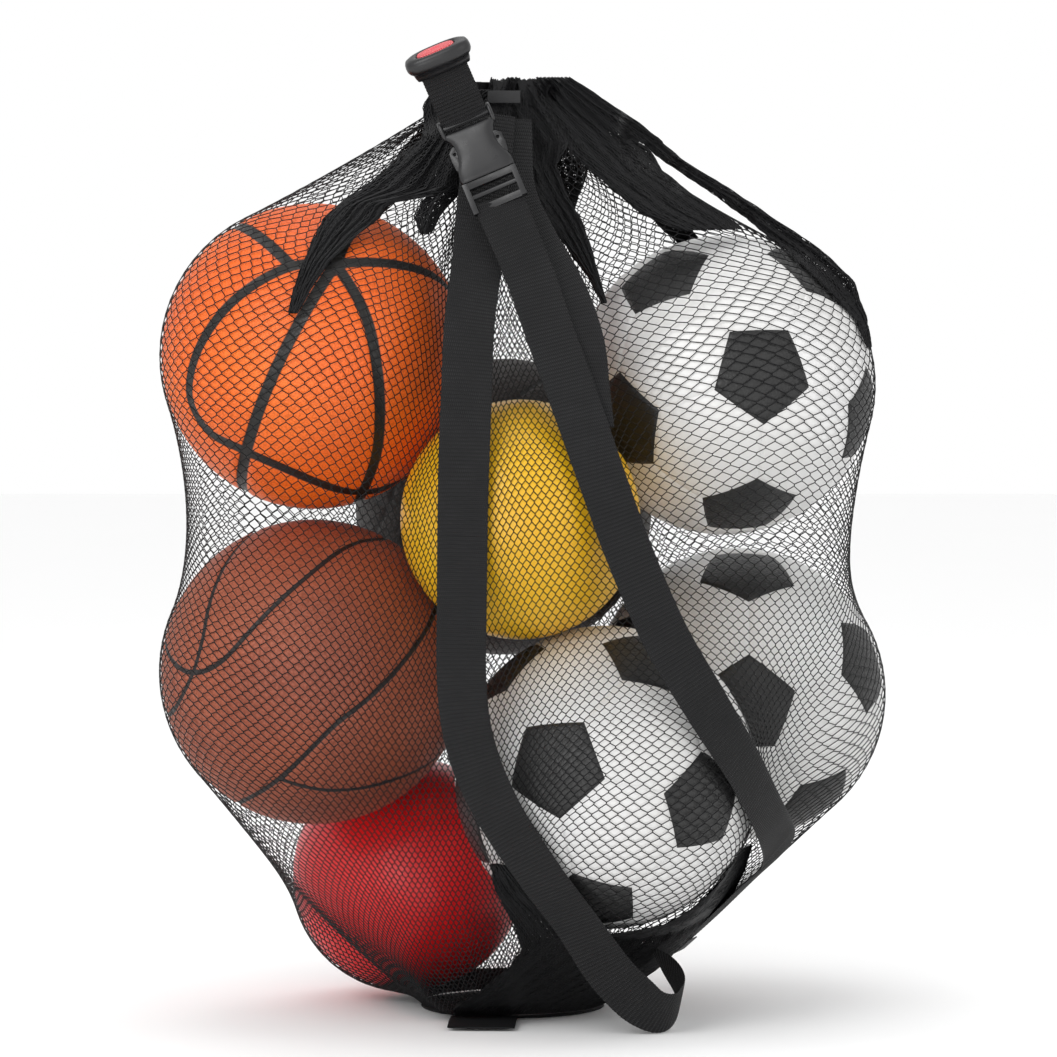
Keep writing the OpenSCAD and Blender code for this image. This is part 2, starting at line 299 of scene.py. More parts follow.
def kick_white():
    s = Shader("kick_white", (0.85, 0.85, 0.84), 0.34)
    clean = s.ramp(s.noise(9.0), [(0.35, 0.0), (0.75, 1.0)])
    s.color(s.mix(clean, (0.74, 0.735, 0.72), (0.82, 0.82, 0.82)))
    s.rough(s.ramp(s.noise(80.0), [(0.3, 0.28), (0.8, 0.42)]))
    s.bump(s.cells(1100.0), 0.00012, 0.35)
    return s.mat


def kick_black():
    s = Shader("kick_black", (0.012, 0.012, 0.012), 0.38)
    grain = s.cells(480.0)
    worn = s.ramp(s.noise(14.0, 4.0), [(0.35, 0.0), (0.8, 1.0)])
    s.color(s.mix(worn, (0.006, 0.006, 0.006), (0.028, 0.028, 0.028)))
    s.rough(s.ramp(grain, [(0.1, 0.3), (0.8, 0.55)]))
    s.bump(grain, 0.0005, 0.7)
    return s.mat


# ---------------------------------------------------------------- mesh helpers
def build(name, verts, faces, mat, uv=None):
    mesh = bpy.data.meshes.new(name)
    verts = np.asarray(verts, np.float32).reshape(-1, 3)
    faces = np.asarray(faces, np.int32)
    mesh.vertices.add(len(verts))
    mesh.vertices.foreach_set("co", verts.ravel())
    n, k = faces.shape
    mesh.loops.add(n * k)
    mesh.loops.foreach_set("vertex_index", faces.ravel())
    mesh.polygons.add(n)
    mesh.polygons.foreach_set("loop_start", np.arange(n, dtype=np.int32) * k)
    mesh.update(calc_edges=True)
    mesh.validate()
    if uv is not None:
        layer = mesh.uv_layers.new(name="UVMap")
        layer.data.foreach_set("uv", np.asarray(uv, np.float32)[faces.ravel()].ravel())
    mesh.polygons.foreach_set("use_smooth", np.full(len(mesh.polygons), True))
    obj = bpy.data.objects.new(name, mesh)
    COLLECTION.objects.link(obj)
    for m in mat if isinstance(mat, (list, tuple)) else [mat]:
        mesh.materials.append(m)
    return obj


def grid_faces(rows, cols, closed):
    i, j = np.meshgrid(np.arange(rows - 1), np.arange(cols if closed else cols - 1), indexing="ij")
    k = (j + 1) % cols
    a, b = i * cols + j, i * cols + k
    return np.stack([a, b, b + cols, a + cols], -1).reshape(-1, 4)


def finish_piece(obj, body, slot, *nodes):
    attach(obj, body)
    if nodes:
        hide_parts(*nodes)
    return obj


def catmull(points, step):
    """A smooth curve through the points, sampled about every step."""
    p = np.asarray(points, float)
    p = np.vstack([2 * p[0] - p[1], p, 2 * p[-1] - p[-2]])
    out = []
    for a, b, c, d in zip(p[:-3], p[1:-2], p[2:-1], p[3:]):
        t = np.linspace(0, 1, max(2, int(np.linalg.norm((c - b)[:3]) / step)), endpoint=False)[:, None]
        out.append(0.5 * (2 * b + (c - a) * t + (2 * a - 5 * b + 4 * c - d) * t**2
                          + (3 * b - a - 3 * c + d) * t**3))
    return np.vstack(out + [p[-2:-1]])


# ---------------------------------------------------------------- balls
BIG, KICK, PLAY = 113.5, 112.0, 88.5
BALL_DIVISIONS = 7
CHANNEL_STEP = 0.012  # radians between the samples of a channel's line
COVER_INSET, PLAIN_INSET = 0.1, 0.4  # mm inside the ball's radius
BAND_RISE, BAND_WIDTH = 0.35, 1.2  # mm, a playground ball's moulded band
PANEL_STEPS, PANEL_CROWDING = 16, 1.6  # a panel's grid, and how its points crowd to the seams
BALLS = {  # body: centre, radius in mm
    "orange_ball": ((-159, -39, 493), BIG),
    "brown_ball": ((-160, -42, 258), BIG),
    "red_ball": ((-91, 57, 94.5), PLAY),
    "yellow_ball": ((-6, -106, 376), PLAY),
    "upper_kick_ball": ((146, -7, 470), KICK),
    "right_kick_ball": ((160, 100, 228), KICK),
    "front_kick_ball": ((57, -98, 185), KICK),
    "hidden_ball": ((-19, 112, 371), BIG),
}
ORANGE_CHANNEL, BROWN_CHANNEL, CHANNEL_DEPTH = 9.5, 4.2, 1.2  # mm wide, mm wide, mm deep
# channels as points on the ball: azimuth to the right of the front, and elevation, in degrees
ORANGE_CHANNELS = [
    [(12, 39), (-9, 38), (-31, 25), (-45, 8), (-53, -7), (-55, -17), (-49, -28), (-34, -35), (-17, -43),
     (2, -52), (39, -61), (76, -54), (108, -30), (128, 0), (140, 30), (150, 62)],
    [(12, 39), (-13, -3), (-30, -34), (-68, -60), (-140, -58), (-175, -20), (170, 20), (150, 62),
     (50, 68), (12, 39)],
    [(12, 39), (22, 18), (26, -4), (31, -32), (46, -64), (150, -62), (172, -20)],
    [(12, 39), (48, 38), (84, 26), (110, 4), (118, -25), (100, -50), (39, -61)],
    [(-9, 38), (-55, 58), (-120, 50), (-150, 20), (-175, -20)],
]
BROWN_CHANNELS = [
    [(-110, 66), (-80, 66), (-57, 48), (-49, 28), (-47, 14), (-52, 0), (-69, -13), (-95, -14), (-115, 10),
     (-120, 40), (-110, 66)],
    [(120, 60), (82, 62), (30, 60), (-3, 42), (-25, 19), (-37, 7), (-52, 3), (-72, 8), (-110, 20),
     (-150, 20)],
    [(100, 38), (70, 29), (43, 12), (24, -4), (8, -17), (-15, -39), (-52, -55), (-120, -55), (-160, -20)],
    [(-15, -39), (6, -45), (26, -45), (52, -40), (95, -22), (130, 10), (150, 45)],
    [(100, 38), (140, 45), (175, 30), (-160, -20)],
]


def directions(pairs):
    az, el = np.radians(np.asarray(pairs, float)).T
    return np.stack([np.sin(az) * np.cos(el), -np.cos(az) * np.cos(el), np.sin(el)], -1)


def round_ball():
    """The points of a unit ball, and its triangles."""
    bm = bmesh.new()
    bmesh.ops.create_icosphere(bm, subdivisions=BALL_DIVISIONS, radius=1)
    co = np.array([v.co[:] for v in bm.verts])
    faces = np.array([[v.index for v in f.verts] for f in bm.faces])
    bm.free()
    return unit(co), faces


def ball_with_channels(name, body, node, mat, slot, channels, width):
    centre, r = BALLS[body]
    co, faces = round_ball()
    lines = np.vstack([unit(catmull(directions(c), CHANNEL_STEP)) for c in channels]).astype(np.float32)
    near = np.concatenate([(part.astype(np.float32) @ lines.T).max(1) for part in np.array_split(co, 20)])
    dist = np.arccos(np.clip(near, -1, 1)) * r
    dip = 1 / (1 + np.exp(np.clip((dist - width * 0.5) / (width * 0.09), -30, 30)))
    pts = np.array(centre) + co * (r - COVER_INSET - CHANNEL_DEPTH * dip)[:, None]
    obj = build(name, pts * MM, faces, mat)
    obj.data.attributes.new("channel", "FLOAT", "POINT").data.foreach_set("value", dist.astype(np.float32))
    return finish_piece(obj, body, slot, node)


def plain_ball(name, body, node, mat, slot):
    """A playground ball with a low moulded band round it."""
    centre, r = BALLS[body]
    co, faces = round_ball()
    tilt = Matrix.Rotation(math.radians(24), 3, "X") @ Matrix.Rotation(math.radians(15), 3, "Y")
    from_band = (co @ np.array(tilt))[:, 2] * r
    rise = BAND_RISE * np.exp(-(from_band / BAND_WIDTH) ** 2)
    pts = np.array(centre) + co * (r - PLAIN_INSET + rise)[:, None]
    return finish_piece(build(name, pts * MM, faces, mat), body, slot, node)


def panel_ball(name, body, node, turn):
    """Twelve five sided and twenty six sided panels, each crowned and dipping at its seams."""
    centre, r = BALLS[body]
    g = (1 + 5**0.5) / 2
    ico = unit([p for a in (-1, 1) for b in (-g, g) for p in ((0, a, b), (a, b, 0), (b, 0, a))])
    x_turn, y_turn, z_turn = (Matrix.Rotation(math.radians(t), 3, axis) for t, axis in zip(turn, "XYZ"))
    ico = ico @ np.array(z_turn @ y_turn @ x_turn).T
    close = ico @ ico.T > 0.4
    np.fill_diagonal(close, False)
    panels = []
    for i in range(12):
        ring = [(ico[i] * 2 + ico[j]) / 3 for j in np.flatnonzero(close[i])]
        panels.append((ico[i], ring, 1))
        for j in np.flatnonzero(close[i]):
            for k in np.flatnonzero(close[i] & close[j]):
                if i < j < k:
                    trio = ((i, j), (j, i), (j, k), (k, j), (k, i), (i, k))
                    ring = [(2 * ico[a] + ico[b]) / 3 for a, b in trio]
                    panels.append((unit(ico[i] + ico[j] + ico[k]), ring, 0))
    verts, faces, kinds = [], [], []
    t = np.linspace(0, 1, PANEL_STEPS + 1)
    s = 1 - (1 - t) ** PANEL_CROWDING
    for mid, ring, kind in panels:
        ring = np.array(ring)
        middle = ring.mean(0)
        x = unit(ring[0] - middle)
        y = np.cross(unit(mid), x)
        ring = ring[np.argsort(np.arctan2((ring - middle) @ y, (ring - middle) @ x))]
        apothem = np.linalg.norm((ring[0] + ring[1]) / 2 - middle) * r
        for a, b in zip(ring, np.roll(ring, -1, 0)):
            base = sum(len(v) for v in verts)
            flat = middle + s[:, None, None] * ((a + (b - a) * t[:, None]) - middle)[None]
            edge = (1 - s) * apothem
            seam, crown = 0.9 * np.exp(-(edge / 1.3) ** 2), 0.5 * np.exp(-edge / 9)
            lift = -0.2 - seam - crown
            verts.append((unit(flat) * (r + lift)[:, None, None]).reshape(-1, 3))
            faces.append(grid_faces(PANEL_STEPS + 1, PANEL_STEPS + 1, False) + base)
            kinds.append(np.full(len(faces[-1]), kind, np.int32))
    verts = np.vstack(verts) + np.array(centre)
    obj = build(name, verts * MM, np.vstack(faces), [kick_white_mat, kick_black_mat])
    obj.data.polygons.foreach_set("material_index", np.concatenate(kinds))
    bm = bmesh.new()
    bm.from_mesh(obj.data)
    bmesh.ops.remove_doubles(bm, verts=bm.verts, dist=1e-5)
    bmesh.ops.recalc_face_normals(bm, faces=bm.faces)
    bm.to_mesh(obj.data)
    bm.free()
    return finish_piece(obj, body, "kick_ball_leather", node)


# ---------------------------------------------------------------- straps
# a route's points: x, y and z in mm, and the azimuth and elevation its face looks to, in degrees
LEFT_ROUTE = [(-28, -64, 673, 9, 28), (-31, -83.5, 637, 9, 28), (-35, -106, 596, 9, 28),
              (-38, -124, 562, 9, 28), (-43, -147, 521, 9, 28), (-45, -173, 470, 6, 26),
              (-47, -194, 406, -8, 8), (-48, -196, 329, -12, 0), (-48, -197, 261, -14, 0),
              (-41, -199, 216, -14, 0), (-22, -199, 171, -16, -14), (8, -191, 124, -14, -28),
              (36, -170, 84, -8, -40), (58, -155, 50, 0, -30), (76, -150, 30, 0, -20),
              (90, -147, 19, 6, -30), (104, -136, 16, 45, -30), (112, -118, 24, 90, -10),
              (108, -98, 36, 120, 20), (96, -80, 46, 120, 40)]
RIGHT_ROUTE = [(-22, -113.5, 612, -2, 16), (-20, -115.5, 605.8, -2, 16), (-12, -121, 587, 6, 22),
               (2, -128, 553, 9, 28), (16, -144, 513, 9, 28), (32, -162, 470, 10, 27),
               (53, -183, 411, 18, 14), (72, -189, 359, 20, 10), (98, -191, 299, 21, 10),
               (129, -189, 246, 28, 6), (157, -167, 199, 46, -2), (178, -116, 154, 64, -18),
               (186, -52, 128, 71, -37), (182, -22, 114, 74, -47), (164, -2, 94, 74, -47),
               (139, 8, 68, 74, -47), (110, 13, 41, 74, -47)]
BEHIND_ROUTE = [(-16, -59.3, 669, 9, 28), (-13, -86, 618, 9, 28), (4, -103.5, 580, 9, 28),
                (25, -120, 543, 9, 28), (37, -136.5, 508, 9, 28), (41, -152, 474, 9, 28),
                (44, -164, 446, 9, 26)]
WEB_W, WEB_T = 37.0, 1.6  # mm across and thick
WEB_POINTS, WEB_SKIN = 15, 0.1  # points across each face, and mm taken off it before the ribs
RIB_HEIGHT, RIB_REACH = 0.14, 0.12  # mm that a rib stands up, and out at the selvedge
STRAP_SPLIT, STRAP_LAP = 370.0, 0.7  # mm: where a strap's two pieces meet, and their lap


def facing(q):
    az, el = np.radians(q[:, 3]), np.radians(q[:, 4])
    return np.stack([np.sin(az) * np.cos(el), -np.cos(az) * np.cos(el), np.sin(el)], -1)


def ribbon_frame(route, step):
    q = catmull(route, step)
    along = unit(np.gradient(q[:, :3], axis=0))
    side = unit(np.cross(along, facing(q)))
    out = unit(np.cross(side, along))
    length = np.concatenate([[0], np.cumsum(np.linalg.norm(np.diff(q[:, :3], axis=0), axis=1))])
    return q[:, :3], side, out, length


def webbing(name, route, width=WEB_W, heights=(-math.inf, math.inf), rib=RIB):
    """A band with a round selvedge and real ribs across it, kept between two heights."""
    mid, side, out, length = ribbon_frame(route, rib / 4)
    kept = (mid[:, 2] >= heights[0]) & (mid[:, 2] < heights[1])
    mid, side, out, length = mid[kept], side[kept], out[kept], length[kept]
    x = np.sin(np.linspace(-math.pi / 2, math.pi / 2, WEB_POINTS))
    ring_x = np.concatenate([x, x[::-1][1:-1]])
    selvedge = np.sqrt(np.clip(1 - ring_x**6, 0.08, 1))
    ring_y = np.concatenate([np.ones(WEB_POINTS), -np.ones(WEB_POINTS - 2)]) * selvedge
    wave = np.cos(2 * np.pi * length / rib)[:, None]
    sway = (0.35 * np.sin(length / 37.0) + 0.25 * np.sin(length / 13.0))[:, None]
    x = ring_x * (width / 2 + RIB_REACH * wave)
    y = ring_y * (WEB_T / 2 - WEB_SKIN + RIB_HEIGHT * wave * (np.abs(ring_x) < 0.97))
    bow = sway * 0.3 * (1 - ring_x**2)
    pts = mid[:, None] + side[:, None] * x[..., None] + out[:, None] * y[..., None]
    pts = pts + out[:, None] * bow[..., None]
    uv = np.stack([x, np.broadcast_to(length[:, None], x.shape)], -1)
    obj = build(name, pts.reshape(-1, 3) * MM, grid_faces(*x.shape, True), webbing_mat,
                uv=uv.reshape(-1, 2) * MM)
    cap_ends(obj, *x.shape)
    return obj


def cap_ends(obj, rows, cols):
    """Closes a lofted piece with one face at each end."""
    bm = bmesh.new()
    bm.from_mesh(obj.data)
    bm.verts.ensure_lookup_table()
    for start in (0, (rows - 1) * cols):
        ring = [bm.verts[start + k] for k in range(cols)]
        bm.faces.new(ring if start else ring[::-1])
    bm.to_mesh(obj.data)
    bm.free()


def make_straps():
    for side, route, more in (("left", LEFT_ROUTE, ["strap_turn_loop"]), ("right", RIGHT_ROUTE, [])):
        top = webbing(f"strap_{side}_top", route, heights=(STRAP_SPLIT, math.inf))
        foot = webbing(f"strap_{side}_foot", route, heights=(-math.inf, STRAP_SPLIT + STRAP_LAP))
        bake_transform(top)
        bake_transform(foot)
        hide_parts(f"strap_{side}_upper", f"strap_{side}_mid")
        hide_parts(f"strap_{side}_mid", f"strap_{side}_lower", *more)
    finish_piece(webbing("strap_behind_band", BEHIND_ROUTE), "bag", "webbing", "strap_behind")


# ---------------------------------------------------------------- net
NECK, NECK_Z = np.array([-18.0, -10.0]), 681.0
BASE, BASE_R, FOOT_Z = np.array([-12.0, 12.0]), 69.0, 3.0
AROUND, ALONG = 240, 140  # points of the draped tube
GIRTH, DEPTH = 1500.0, 860.0  # mm, the net tube when flat
BALL_GAP, FLOOR_GAP = 1.4, 3.2  # mm that a thread keeps from a ball, and from the floor
SLACK_ROUND, SLACK_UP = 0.5, 0.72  # share of the open mesh's size under which a link pushes back
HUG, SPREAD, SQUEEZE = 0.10, 0.4, 0.3  # how hard links round pull, links round push, links along push
MOMENTUM, WEIGHT = 0.9, 0.05
GRIP = 0.3  # share of its move that a thread on a ball keeps
STEPS, QUICK_STEPS = 260, 160


def loose_tube(th, v):
    """The net before it settles: a swollen tube from the base patch to the pleats of the drawn neck."""
    crowd = th + 0.35 * np.sin(2 * th + 0.4)
    pleat = np.sin(20 * th) + 0.35 * np.sin(31 * th + 1)
    foot = [BASE[0] + BASE_R * np.cos(th), BASE[1] + BASE_R * np.sin(th), np.full(AROUND, FOOT_Z)]
    top_r = 30 + 8.5 * pleat
    top_z = NECK_Z + 5 + 3 * np.sin(7 * th)
    neck = [NECK[0] + top_r * np.cos(crowd), NECK[1] + top_r * np.sin(crowd), top_z]
    swell = np.sin(np.pi * v) ** 0.55
    rx, ry = 75 + 215 * swell, 75 + 165 * swell
    wob = 1 + 0.01 * np.sin(20 * th)[None] * swell[:, None]
    cx, cy = BASE[0] * (1 - v) + NECK[0] * v + 8 * swell, BASE[1] * (1 - v) + NECK[1] * v
    x = cx[:, None] + rx[:, None] * np.cos(crowd)[None] * wob
    y = cy[:, None] + ry[:, None] * np.sin(crowd)[None] * wob
    z = np.broadcast_to((FOOT_Z + 678 * v)[:, None], (ALONG, AROUND))
    p = np.stack([x, y, z], -1)
    p += RNG.normal(0, 1.0, p.shape)
    p[0], p[-1] = np.stack(foot, -1), np.stack(neck, -1)
    return p


def pull(a, b, wa, wb, rest, squeeze, stiff=1.0):
    """Moves the ends of links towards their rest length, more or less fully when short or long."""
    d = b - a
    size = np.linalg.norm(d, axis=-1, keepdims=True) + 1e-9
    gap = size - rest
    gap = np.where(gap < 0, gap * squeeze, gap * stiff)
    move = d / size * gap / np.maximum(wa + wb, 1e-9)
    a += wa * move
    b -= wb * move


def push_out(p, free):
    """Moves the free points that lie in a ball out to its surface, and says which they were."""
    touching = np.zeros_like(free)
    for centre, radius in BALLS.values():
        d = p - np.array(centre, float)
        size = np.linalg.norm(d, axis=-1, keepdims=True)
        inside = (size < radius + BALL_GAP) & free
        touching |= inside
        p = np.where(inside, centre + d / size * (radius + BALL_GAP), p)
    return p, touching


def drape():
    """Relaxes a net tube over the balls, held in pleats at the neck and round the base patch."""
    th = 2 * np.pi * np.arange(AROUND) / AROUND
    v = np.linspace(0, 1, ALONG)
    p = loose_tube(th, v)
    du, dv = GIRTH / AROUND, DEPTH / (ALONG - 1)
    hug = HUG * np.clip((0.80 - v) / 0.12, 0, 1) * np.clip((v - 0.10) / 0.12, 0, 1)
    hug = (hug[:, None] * (1 - 0.6 * np.clip(np.cos(th), 0, 1))[None])[..., None]
    spread = SPREAD * np.clip((v - 0.02) / 0.06, 0, 1) * np.clip((0.85 - v) / 0.1, 0, 1)
    spread = spread[:, None, None]
    w = np.ones((ALONG, AROUND, 1))
    w[0] = w[-1] = 0
    free = w > 0
    old = p.copy()
    for _ in range(STEPS):
        vel = (p - old) * MOMENTUM
        old = p.copy()
        p += vel * w + w * np.array([0, 0, -WEIGHT])
        for _ in range(3):
            for s in (0, 1):
                a, b = p[:, s::2].copy(), np.roll(p, -1, 1)[:, s::2].copy()
                wa, wb = w[:, s::2], np.roll(w, -1, 1)[:, s::2]
                pull(a, b, wa, wb, du * SLACK_ROUND, spread, hug[:, s::2])
                p[:, s::2] = a
                p[:, (np.arange(s, AROUND, 2) + 1) % AROUND] = b
            for s in (0, 1):
                top = p[s + 1::2]
                low = p[s::2][: len(top)]
                pull(low, top, w[s::2][: len(top)], w[s + 1::2], dv * SLACK_UP, SQUEEZE)
            p, touching = push_out(p, free)
            p = np.where(touching, old + GRIP * (p - old), p)
            p[..., 2] = np.where(free[..., 0], np.maximum(p[..., 2], FLOOR_GAP), p[..., 2])
    for _ in range(2):
        near = (np.roll(p, 1, 1) + np.roll(p, -1, 1) + np.vstack([p[:1], p[:-1]])
                + np.vstack([p[1:], p[-1:]])) / 4
        p, _ = push_out(p + w * 0.3 * (near - p), free)
    return under_straps(p)


STRAP_REACH, STRAP_NEAR = 23, 45  # mm beside and from a strap's middle line that the net is pressed back
STRAP_UNDER, STRAP_OVER = -2.3, 40  # mm: where it is pressed to, and from how far out


def under_straps(p):
    """Presses the net back where a strap lies over it."""
    for route in (LEFT_ROUTE[:14], RIGHT_ROUTE[2:], BEHIND_ROUTE[:6]):
        mid, side, out, _ = ribbon_frame(route, 6.0)
        flat = p.reshape(-1, 3)
        near = np.full(len(flat), 1e9)
        pick = np.zeros(len(flat), int)
        for k, c in enumerate(mid):
            d = ((flat - c) ** 2).sum(1)
            closer = d < near
            near[closer], pick[closer] = d[closer], k
        rel = flat - mid[pick]
        high = (rel * out[pick]).sum(1)
        across = np.abs((rel * side[pick]).sum(1))
        hit = (across < STRAP_REACH) & (near < STRAP_NEAR**2) & (high > STRAP_UNDER) & (high < STRAP_OVER)
        move = np.where(hit, STRAP_UNDER - high, 0)[:, None] * out[pick]
        p = (flat + move).reshape(p.shape)
    return p


def sample(grid, u, v):
    """The point of the draped tube at u around (0 to 1) and v along (0 to 1)."""
    x, y = (u % 1) * AROUND, np.clip(v, 0, 1) * (ALONG - 1)
    i, j = np.floor(y).astype(int), np.floor(x).astype(int) % AROUND
    fy, fx = (y - i)[..., None], (x - np.floor(x))[..., None]
    i2, j2 = np.minimum(i + 1, ALONG - 1), (j + 1) % AROUND
    lower = grid[i, j] * (1 - fx) + grid[i, j2] * fx
    upper = grid[i2, j] * (1 - fx) + grid[i2, j2] * fx
    return lower * (1 - fy) + upper * fy


CELLS, ROWS = 176, 176  # meshes round the tube and rows along it
LINK, THREAD = 0.30, 0.44  # share of a row that is an upright link, and a thread's radius in mm
BANDS = ((0, 60, "low"), (60, 116, "mid"), (116, ROWS + 1, "top"))
SHORTEST, LONGEST = 0.05, 40  # mm between the ends of a thread that is kept


def make_net():
    """A knotless net: rows of short upright links, each joined to two links of the next row."""
    grid = drape()
    i, j = np.meshgrid(np.arange(ROWS + 1), np.arange(CELLS), indexing="ij")
    u = (j + 0.5 * (i % 2)) / CELLS
    low = sample(grid, u, (i - LINK / 2) / ROWS)
    top = sample(grid, u, (i + LINK / 2) / ROWS)
    left, right = np.where(i % 2, j, j - 1) % CELLS, np.where(i % 2, j + 1, j) % CELLS
    up = np.minimum(i + 1, ROWS)
    a = np.stack([low, top, top])
    b = np.stack([top, low[up, left], low[up, right]])
    length = np.linalg.norm(a - b, axis=-1)
    ok = np.stack([i <= ROWS, i < ROWS, i < ROWS]) & (length > SHORTEST) & (length < LONGEST)
    for r0, r1, level in BANDS:
        for name, half in (("back", u % 1 < 0.5), ("front", u % 1 >= 0.5)):
            part = ok & ((i >= r0) & (i < r1) & half)[None]
            obj = threads(f"net_{name}_{level}", a[part], b[part])
            seams = ["side_seam_left", "side_seam_right"] if level == "low" else []
            finish_piece(obj, "bag", "net", f"mesh_{name}_{level}", *seams)
    return grid


# ---------------------------------------------------------------- gathered folds of the net
STEP, LEFT_EDGE, LOW_EDGE = 3.0, -330.0, -12.0  # mm: the depth maps' squares and where they begin
MAP_ROWS, MAP_COLS, MAP_SAMPLES = 250, 222, 1500
GATHER_ROW, FOLD_PITCH, LAYER_GAP = 2.7, 6.5, 1.0  # mm


def depth_map(grid, side):
    """How far forward (side -1) or back (side 1) the draped net stands at each x and z."""
    start = 0.5 if side < 0 else 0
    u, v = np.meshgrid(np.linspace(start, start + 0.5, MAP_SAMPLES), np.linspace(0, 1, MAP_SAMPLES))
    p = sample(grid, u, v).reshape(-1, 3)
    cell = (((p[:, 2] - LOW_EDGE) / STEP).astype(int), ((p[:, 0] - LEFT_EDGE) / STEP).astype(int))
    depth = np.full((MAP_ROWS, MAP_COLS), -np.inf)
    np.maximum.at(depth, cell, p[:, 1] * side)
    for _ in range(60):
        pad = np.pad(depth, 1, constant_values=-np.inf)
        near = np.stack([pad[:-2, 1:-1], pad[2:, 1:-1], pad[1:-1, :-2], pad[1:-1, 2:]])
        known = np.isfinite(near)
        mean = np.where(known, near, 0).sum(0) / np.maximum(known.sum(0), 1)
        depth = np.where(np.isfinite(depth) | (known.sum(0) == 0), depth, mean)
    depth = np.where(np.isfinite(depth), depth, 0)
    for _ in range(3):
        pad = np.pad(depth, 1, mode="edge")
        depth = (pad[:-2, 1:-1] + pad[2:, 1:-1] + pad[1:-1, :-2] + pad[1:-1, 2:] + 2 * depth) / 6
    return depth


def look_up(depth, x, z):
    fx = np.clip((x - LEFT_EDGE) / STEP, 0, MAP_COLS - 1.1)
    fz = np.clip((z - LOW_EDGE) / STEP, 0, MAP_ROWS - 1.1)
    i, j = fz.astype(int), fx.astype(int)
    a, b = fz - i, fx - j
    lower = depth[i, j] * (1 - b) + depth[i, j + 1] * b
    upper = depth[i + 1, j] * (1 - b) + depth[i + 1, j + 1] * b
    return lower * (1 - a) + upper * a


def gather(name, depth, side, layers, pitch, edges):
    """Net drawn together into narrow folds. edges: z, then the x of the fold's two sides, in mm."""
    e = np.array(sorted(edges), float)
    rows = int((e[-1, 0] - e[0, 0]) / GATHER_ROW)
    z = np.linspace(e[0, 0], e[-1, 0], rows + 1)
    x0, x1 = np.interp(z, e[:, 0], e[:, 1]), np.interp(z, e[:, 0], e[:, 2])
    cols = max(3, int((x1 - x0).max() / pitch))
    i, j = np.meshgrid(np.arange(rows + 1), np.arange(cols + 1), indexing="ij")
    starts, ends = [], []
    for layer in range(layers):
        s = np.clip((j + 0.5 * (i % 2) + 0.31 * layer) / cols, 0, 1)
        x = x0[i] + s * (x1 - x0)[i] + 0.5 * np.sin(0.9 * i + 1.7 * j + layer)
        zz = z[i] + 0.8 * np.sin(1.3 * j + 0.4 * i + 2 * layer)
        fold = 1.3 * np.sin(2 * np.pi * s * cols / FOLD_PITCH + layer) * np.sin(np.pi * s) ** 0.5
        out = look_up(depth, x, zz) + 0.8 + LAYER_GAP * layer + np.maximum(fold, -0.5)
        pts = np.stack([x, out * side, zz], -1)
        if side < 0:
            pts = under_straps(pts)
        pts[..., 2] = np.maximum(pts[..., 2], 1.0)
        lean = np.where(i % 2, 1, -1)
        starts += [pts[:-1].reshape(-1, 3)] * 2
        across = np.clip(j + lean, 0, cols)[:-1]
        ends += [pts[1:].reshape(-1, 3), pts[1:][i[:-1], across].reshape(-1, 3)]
    a, b = np.vstack(starts), np.vstack(ends)
    size = np.linalg.norm(a - b, axis=1)
    keep = (size > 0.2) & (size < 30)
    obj = finish_piece(threads(name, a[keep], b[keep]), "bag", "net")


GATHERS = [  # name, front (-1) or back (1), layers, pitch across in mm, edges as gather() takes them
    ("gather_neck", -1, 4, 1.9, [
        (699, -28, 31), (692, -30, 42), (680, -34, 59), (664, -36, 84), (651, -36, 100)]),
    ("gather_shoulder", -1, 4, 1.9, [
        (652, 28, 80), (646, 30, 90), (630, 46, 99), (612, 68, 122), (600, 82, 141), (588, 110, 158)]),
    ("gather_right_edge", -1, 3, 1.9, [
        (672, 57, 70), (657, 78, 92), (638, 100, 114), (612, 140, 156), (590, 168, 189), (570, 192, 219),
        (548, 216, 242), (520, 243, 252), (500, 252, 255)]),
    ("gather_fold", -1, 4, 1.9, [
        (652, -22, 29), (635, -10, 20), (613, 2, 28), (594, 15, 39), (574, 29, 46), (552, 45, 52),
        (535, 54, 57)]),
    ("gather_left", -1, 4, 1.9, [
        (690, -72, -28), (680, -78, -40), (654, -78, -42), (635, -100, -44), (618, -124, -48),
        (608, -138, -104), (597, -150, -110), (585, -156, -126), (566, -164, -146), (548, -170, -158),
        (530, -174, -168)]),
    ("gather_left_fold", -1, 3, 1.9, [
        (622, -66, -44), (608, -80, -58), (597, -84, -66), (586, -80, -72)]),
    ("gather_foot", -1, 4, 2.2, [
        (125, 158, 167), (108, 142, 163), (90, 120, 156), (78, 97, 149), (71, 12, 145), (62, 2, 140),
        (44, -18, 113), (26, -38, 83), (13, -56, 53), (6, -56, 42)]),
    ("gather_middle", -1, 3, 1.9, [
        (128, -28, -14), (107, -24, 4), (92, -16, 16), (72, -8, 28), (60, -6, 34), (44, -16, 36)]),
    ("gather_back_neck", 1, 3, 1.9, [
        (694, -50, 14), (672, -58, 34), (640, -66, 48), (600, -20, 34), (560, 0, 16)]),
    ("gather_back_left", 1, 3, 1.9, [
        (676, -70, -40), (640, -100, -66), (590, -140, -118), (540, -178, -166)]),
    ("gather_back_right", 1, 3, 1.9, [
        (676, 10, 40), (640, 44, 74), (590, 96, 118), (540, 146, 158)]),
]


def make_gathers(grid):
    depths = {side: depth_map(grid, side) for side in (-1, 1)}
    for name, side, layers, pitch, edges in GATHERS:
        gather(name, depths[side], side, layers, pitch, edges)


BAG_MIDDLE = np.array([0, 0, 350.0])


